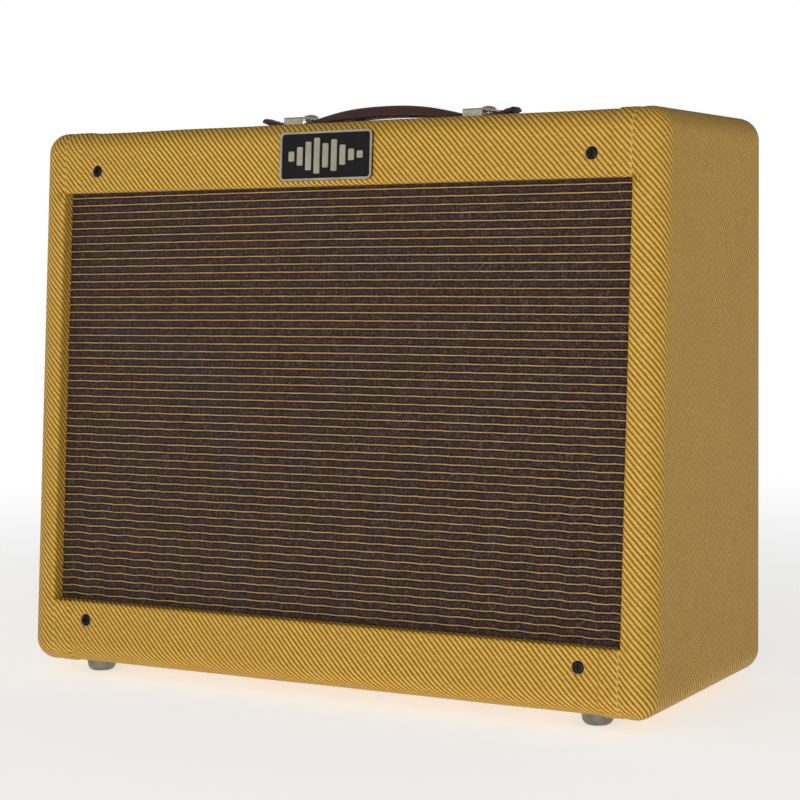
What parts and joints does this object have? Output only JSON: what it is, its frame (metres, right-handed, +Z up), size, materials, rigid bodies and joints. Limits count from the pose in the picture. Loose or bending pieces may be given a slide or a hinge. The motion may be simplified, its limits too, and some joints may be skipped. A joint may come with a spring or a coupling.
{
  "type": "guitar combo amplifier",
  "caption": "Cloth-covered pine guitar combo amplifier with an open back, leather strap handle, grille cloth, a twelve inch speaker and a hanging valve chassis.",
  "frame": {"origin": "on the floor, under the middle of the case", "axes": "+X to the right as seen from the front, +Y to the open back, +Z up"},
  "size_m": [0.508, 0.2166, 0.4214],
  "materials": {
    "pine": "bare",
    "plywood": "bare",
    "tweed": "lacquered diagonal twill",
    "grille_cloth": "woven with gold pinstripes",
    "black_steel": "black oxide",
    "zinc": "zinc plated",
    "nickel": "nickel plated",
    "glide_metal": "dull plated",
    "badge_black": "gloss",
    "badge_silver": "satin",
    "leather": "smooth, stitched",
    "chrome": "polished",
    "pot_steel": "plated",
    "knob_black": "moulded",
    "clear_glass": "clear",
    "jewel_red": "faceted",
    "socket_brown": "moulded",
    "bakelite": "moulded",
    "valve_metal": "carbonised",
    "laminations": "varnished stack",
    "transformer_paint": "satin",
    "fibre_board": "waxed fibre",
    "component_body": "dipped",
    "gasket_cork": "pressed paper",
    "frame_paint": "grey enamel",
    "magnet_metal": "plated",
    "cone_paper": "felted",
    "spider_cloth": "impregnated",
    "coil_copper": "enamelled",
    "plug_metal": "nickel plated",
    "lead_rubber": "matt"
  },
  "bodies": {
    "root": {"side_board_left": "pine", "side_board_right": "pine", "top_board": "pine", "bottom_board": "pine", "front_top_rail": "pine", "front_bottom_rail": "pine", "back_panel_cleats": "pine", "baffle_board": "plywood", "covering_left": "tweed", "covering_right": "tweed", "covering_top": "tweed", "covering_bottom": "tweed", "upper_back_panel": "tweed", "lower_back_panel": "tweed", "grille_cloth": "grille_cloth", "baffle_screws": "black_steel", "baffle_nuts": "zinc", "speaker_bolts": "zinc", "wood_screws": "nickel", "handle_brackets": "nickel", "panel_nuts": "nickel", "fuse_holder": "nickel", "lamp_holder": "nickel", "foot_glides": "glide_metal", "badge_plate": "badge_black", "badge_trim": "badge_silver", "chassis": "chrome", "potentiometers": "pot_steel", "jacks": "pot_steel", "power_switch": "pot_steel", "valve_glass": "clear_glass", "lamp_jewel": "jewel_red", "valve_sockets": "socket_brown", "valve_bases": "bakelite", "cord_gland": "bakelite", "speaker_terminals": "bakelite", "valve_plates": "valve_metal", "transformer_cores": "laminations", "transformer_covers": "transformer_paint", "eyelet_board": "fibre_board", "circuit_components": "component_body", "speaker_gasket": "gasket_cork", "speaker_frame": "frame_paint", "speaker_magnet": "magnet_metal", "speaker_plug": "plug_metal", "speaker_lead": "lead_rubber"},
    "tone_knob": {"knob_tone": "knob_black"},
    "volume_knob_1": {"knob_volume_1": "knob_black"},
    "volume_knob_2": {"knob_volume_2": "knob_black"},
    "toggle": {"switch_lever": "nickel"},
    "fuse_carrier": {"fuse_cap": "knob_black", "fuse": "clear_glass"},
    "strap_middle": {"handle_strap": "leather"},
    "strap_tail_left": {"handle_tail_left": "leather"},
    "strap_tail_right": {"handle_tail_right": "leather"},
    "cone_assembly": {"speaker_cone": "cone_paper", "dust_cap": "cone_paper", "voice_coil": "coil_copper", "speaker_surround": "cone_paper", "speaker_spider": "spider_cloth"}
  },
  "joints": [
    {"name": "tone_turn", "type": "hinge", "parent": "root", "child": "tone_knob", "pos_m": [0.04, 0.06232, 0.3924], "axis": [0, 0, -1], "range_deg": [0, 300]},
    {"name": "volume_1_turn", "type": "hinge", "parent": "root", "child": "volume_knob_1", "pos_m": [-0.008, 0.06232, 0.3924], "axis": [0, 0, -1], "range_deg": [0, 300]},
    {"name": "volume_2_turn", "type": "hinge", "parent": "root", "child": "volume_knob_2", "pos_m": [-0.056, 0.06232, 0.3924], "axis": [0, 0, -1], "range_deg": [0, 300]},
    {"name": "power_toggle", "type": "hinge", "parent": "root", "child": "toggle", "pos_m": [0.172, 0.06232, 0.3914], "axis": [1, 0, 0], "range_deg": [0, 26]},
    {"name": "fuse_pull", "type": "slide", "parent": "root", "child": "fuse_carrier", "axis": [0, 0, 1], "range_m": [0, 0.036]},
    {"name": "strap_lift", "type": "slide", "parent": "root", "child": "strap_middle", "axis": [0, 0, 1], "range_m": [0, 0.022]},
    {"name": "tail_left_slip", "type": "slide", "parent": "root", "child": "strap_tail_left", "axis": [1, 0, 0], "range_m": [0, 0.0078]},
    {"name": "tail_right_slip", "type": "slide", "parent": "root", "child": "strap_tail_right", "axis": [-1, 0, 0], "range_m": [0, 0.0078]},
    {"name": "cone_travel", "type": "slide", "parent": "root", "child": "cone_assembly", "axis": [0, -0.9971, 0.0758], "range_m": [-0.0025, 0.0025], "stiffness_N_per_m": 6600, "deforming": ["speaker_surround", "speaker_spider"]}
  ],
  "couplings": [
    {"joint": "tail_left_slip", "follows": "strap_lift", "ratio": 0.35},
    {"joint": "tail_right_slip", "follows": "strap_lift", "ratio": 0.35}
  ]
}
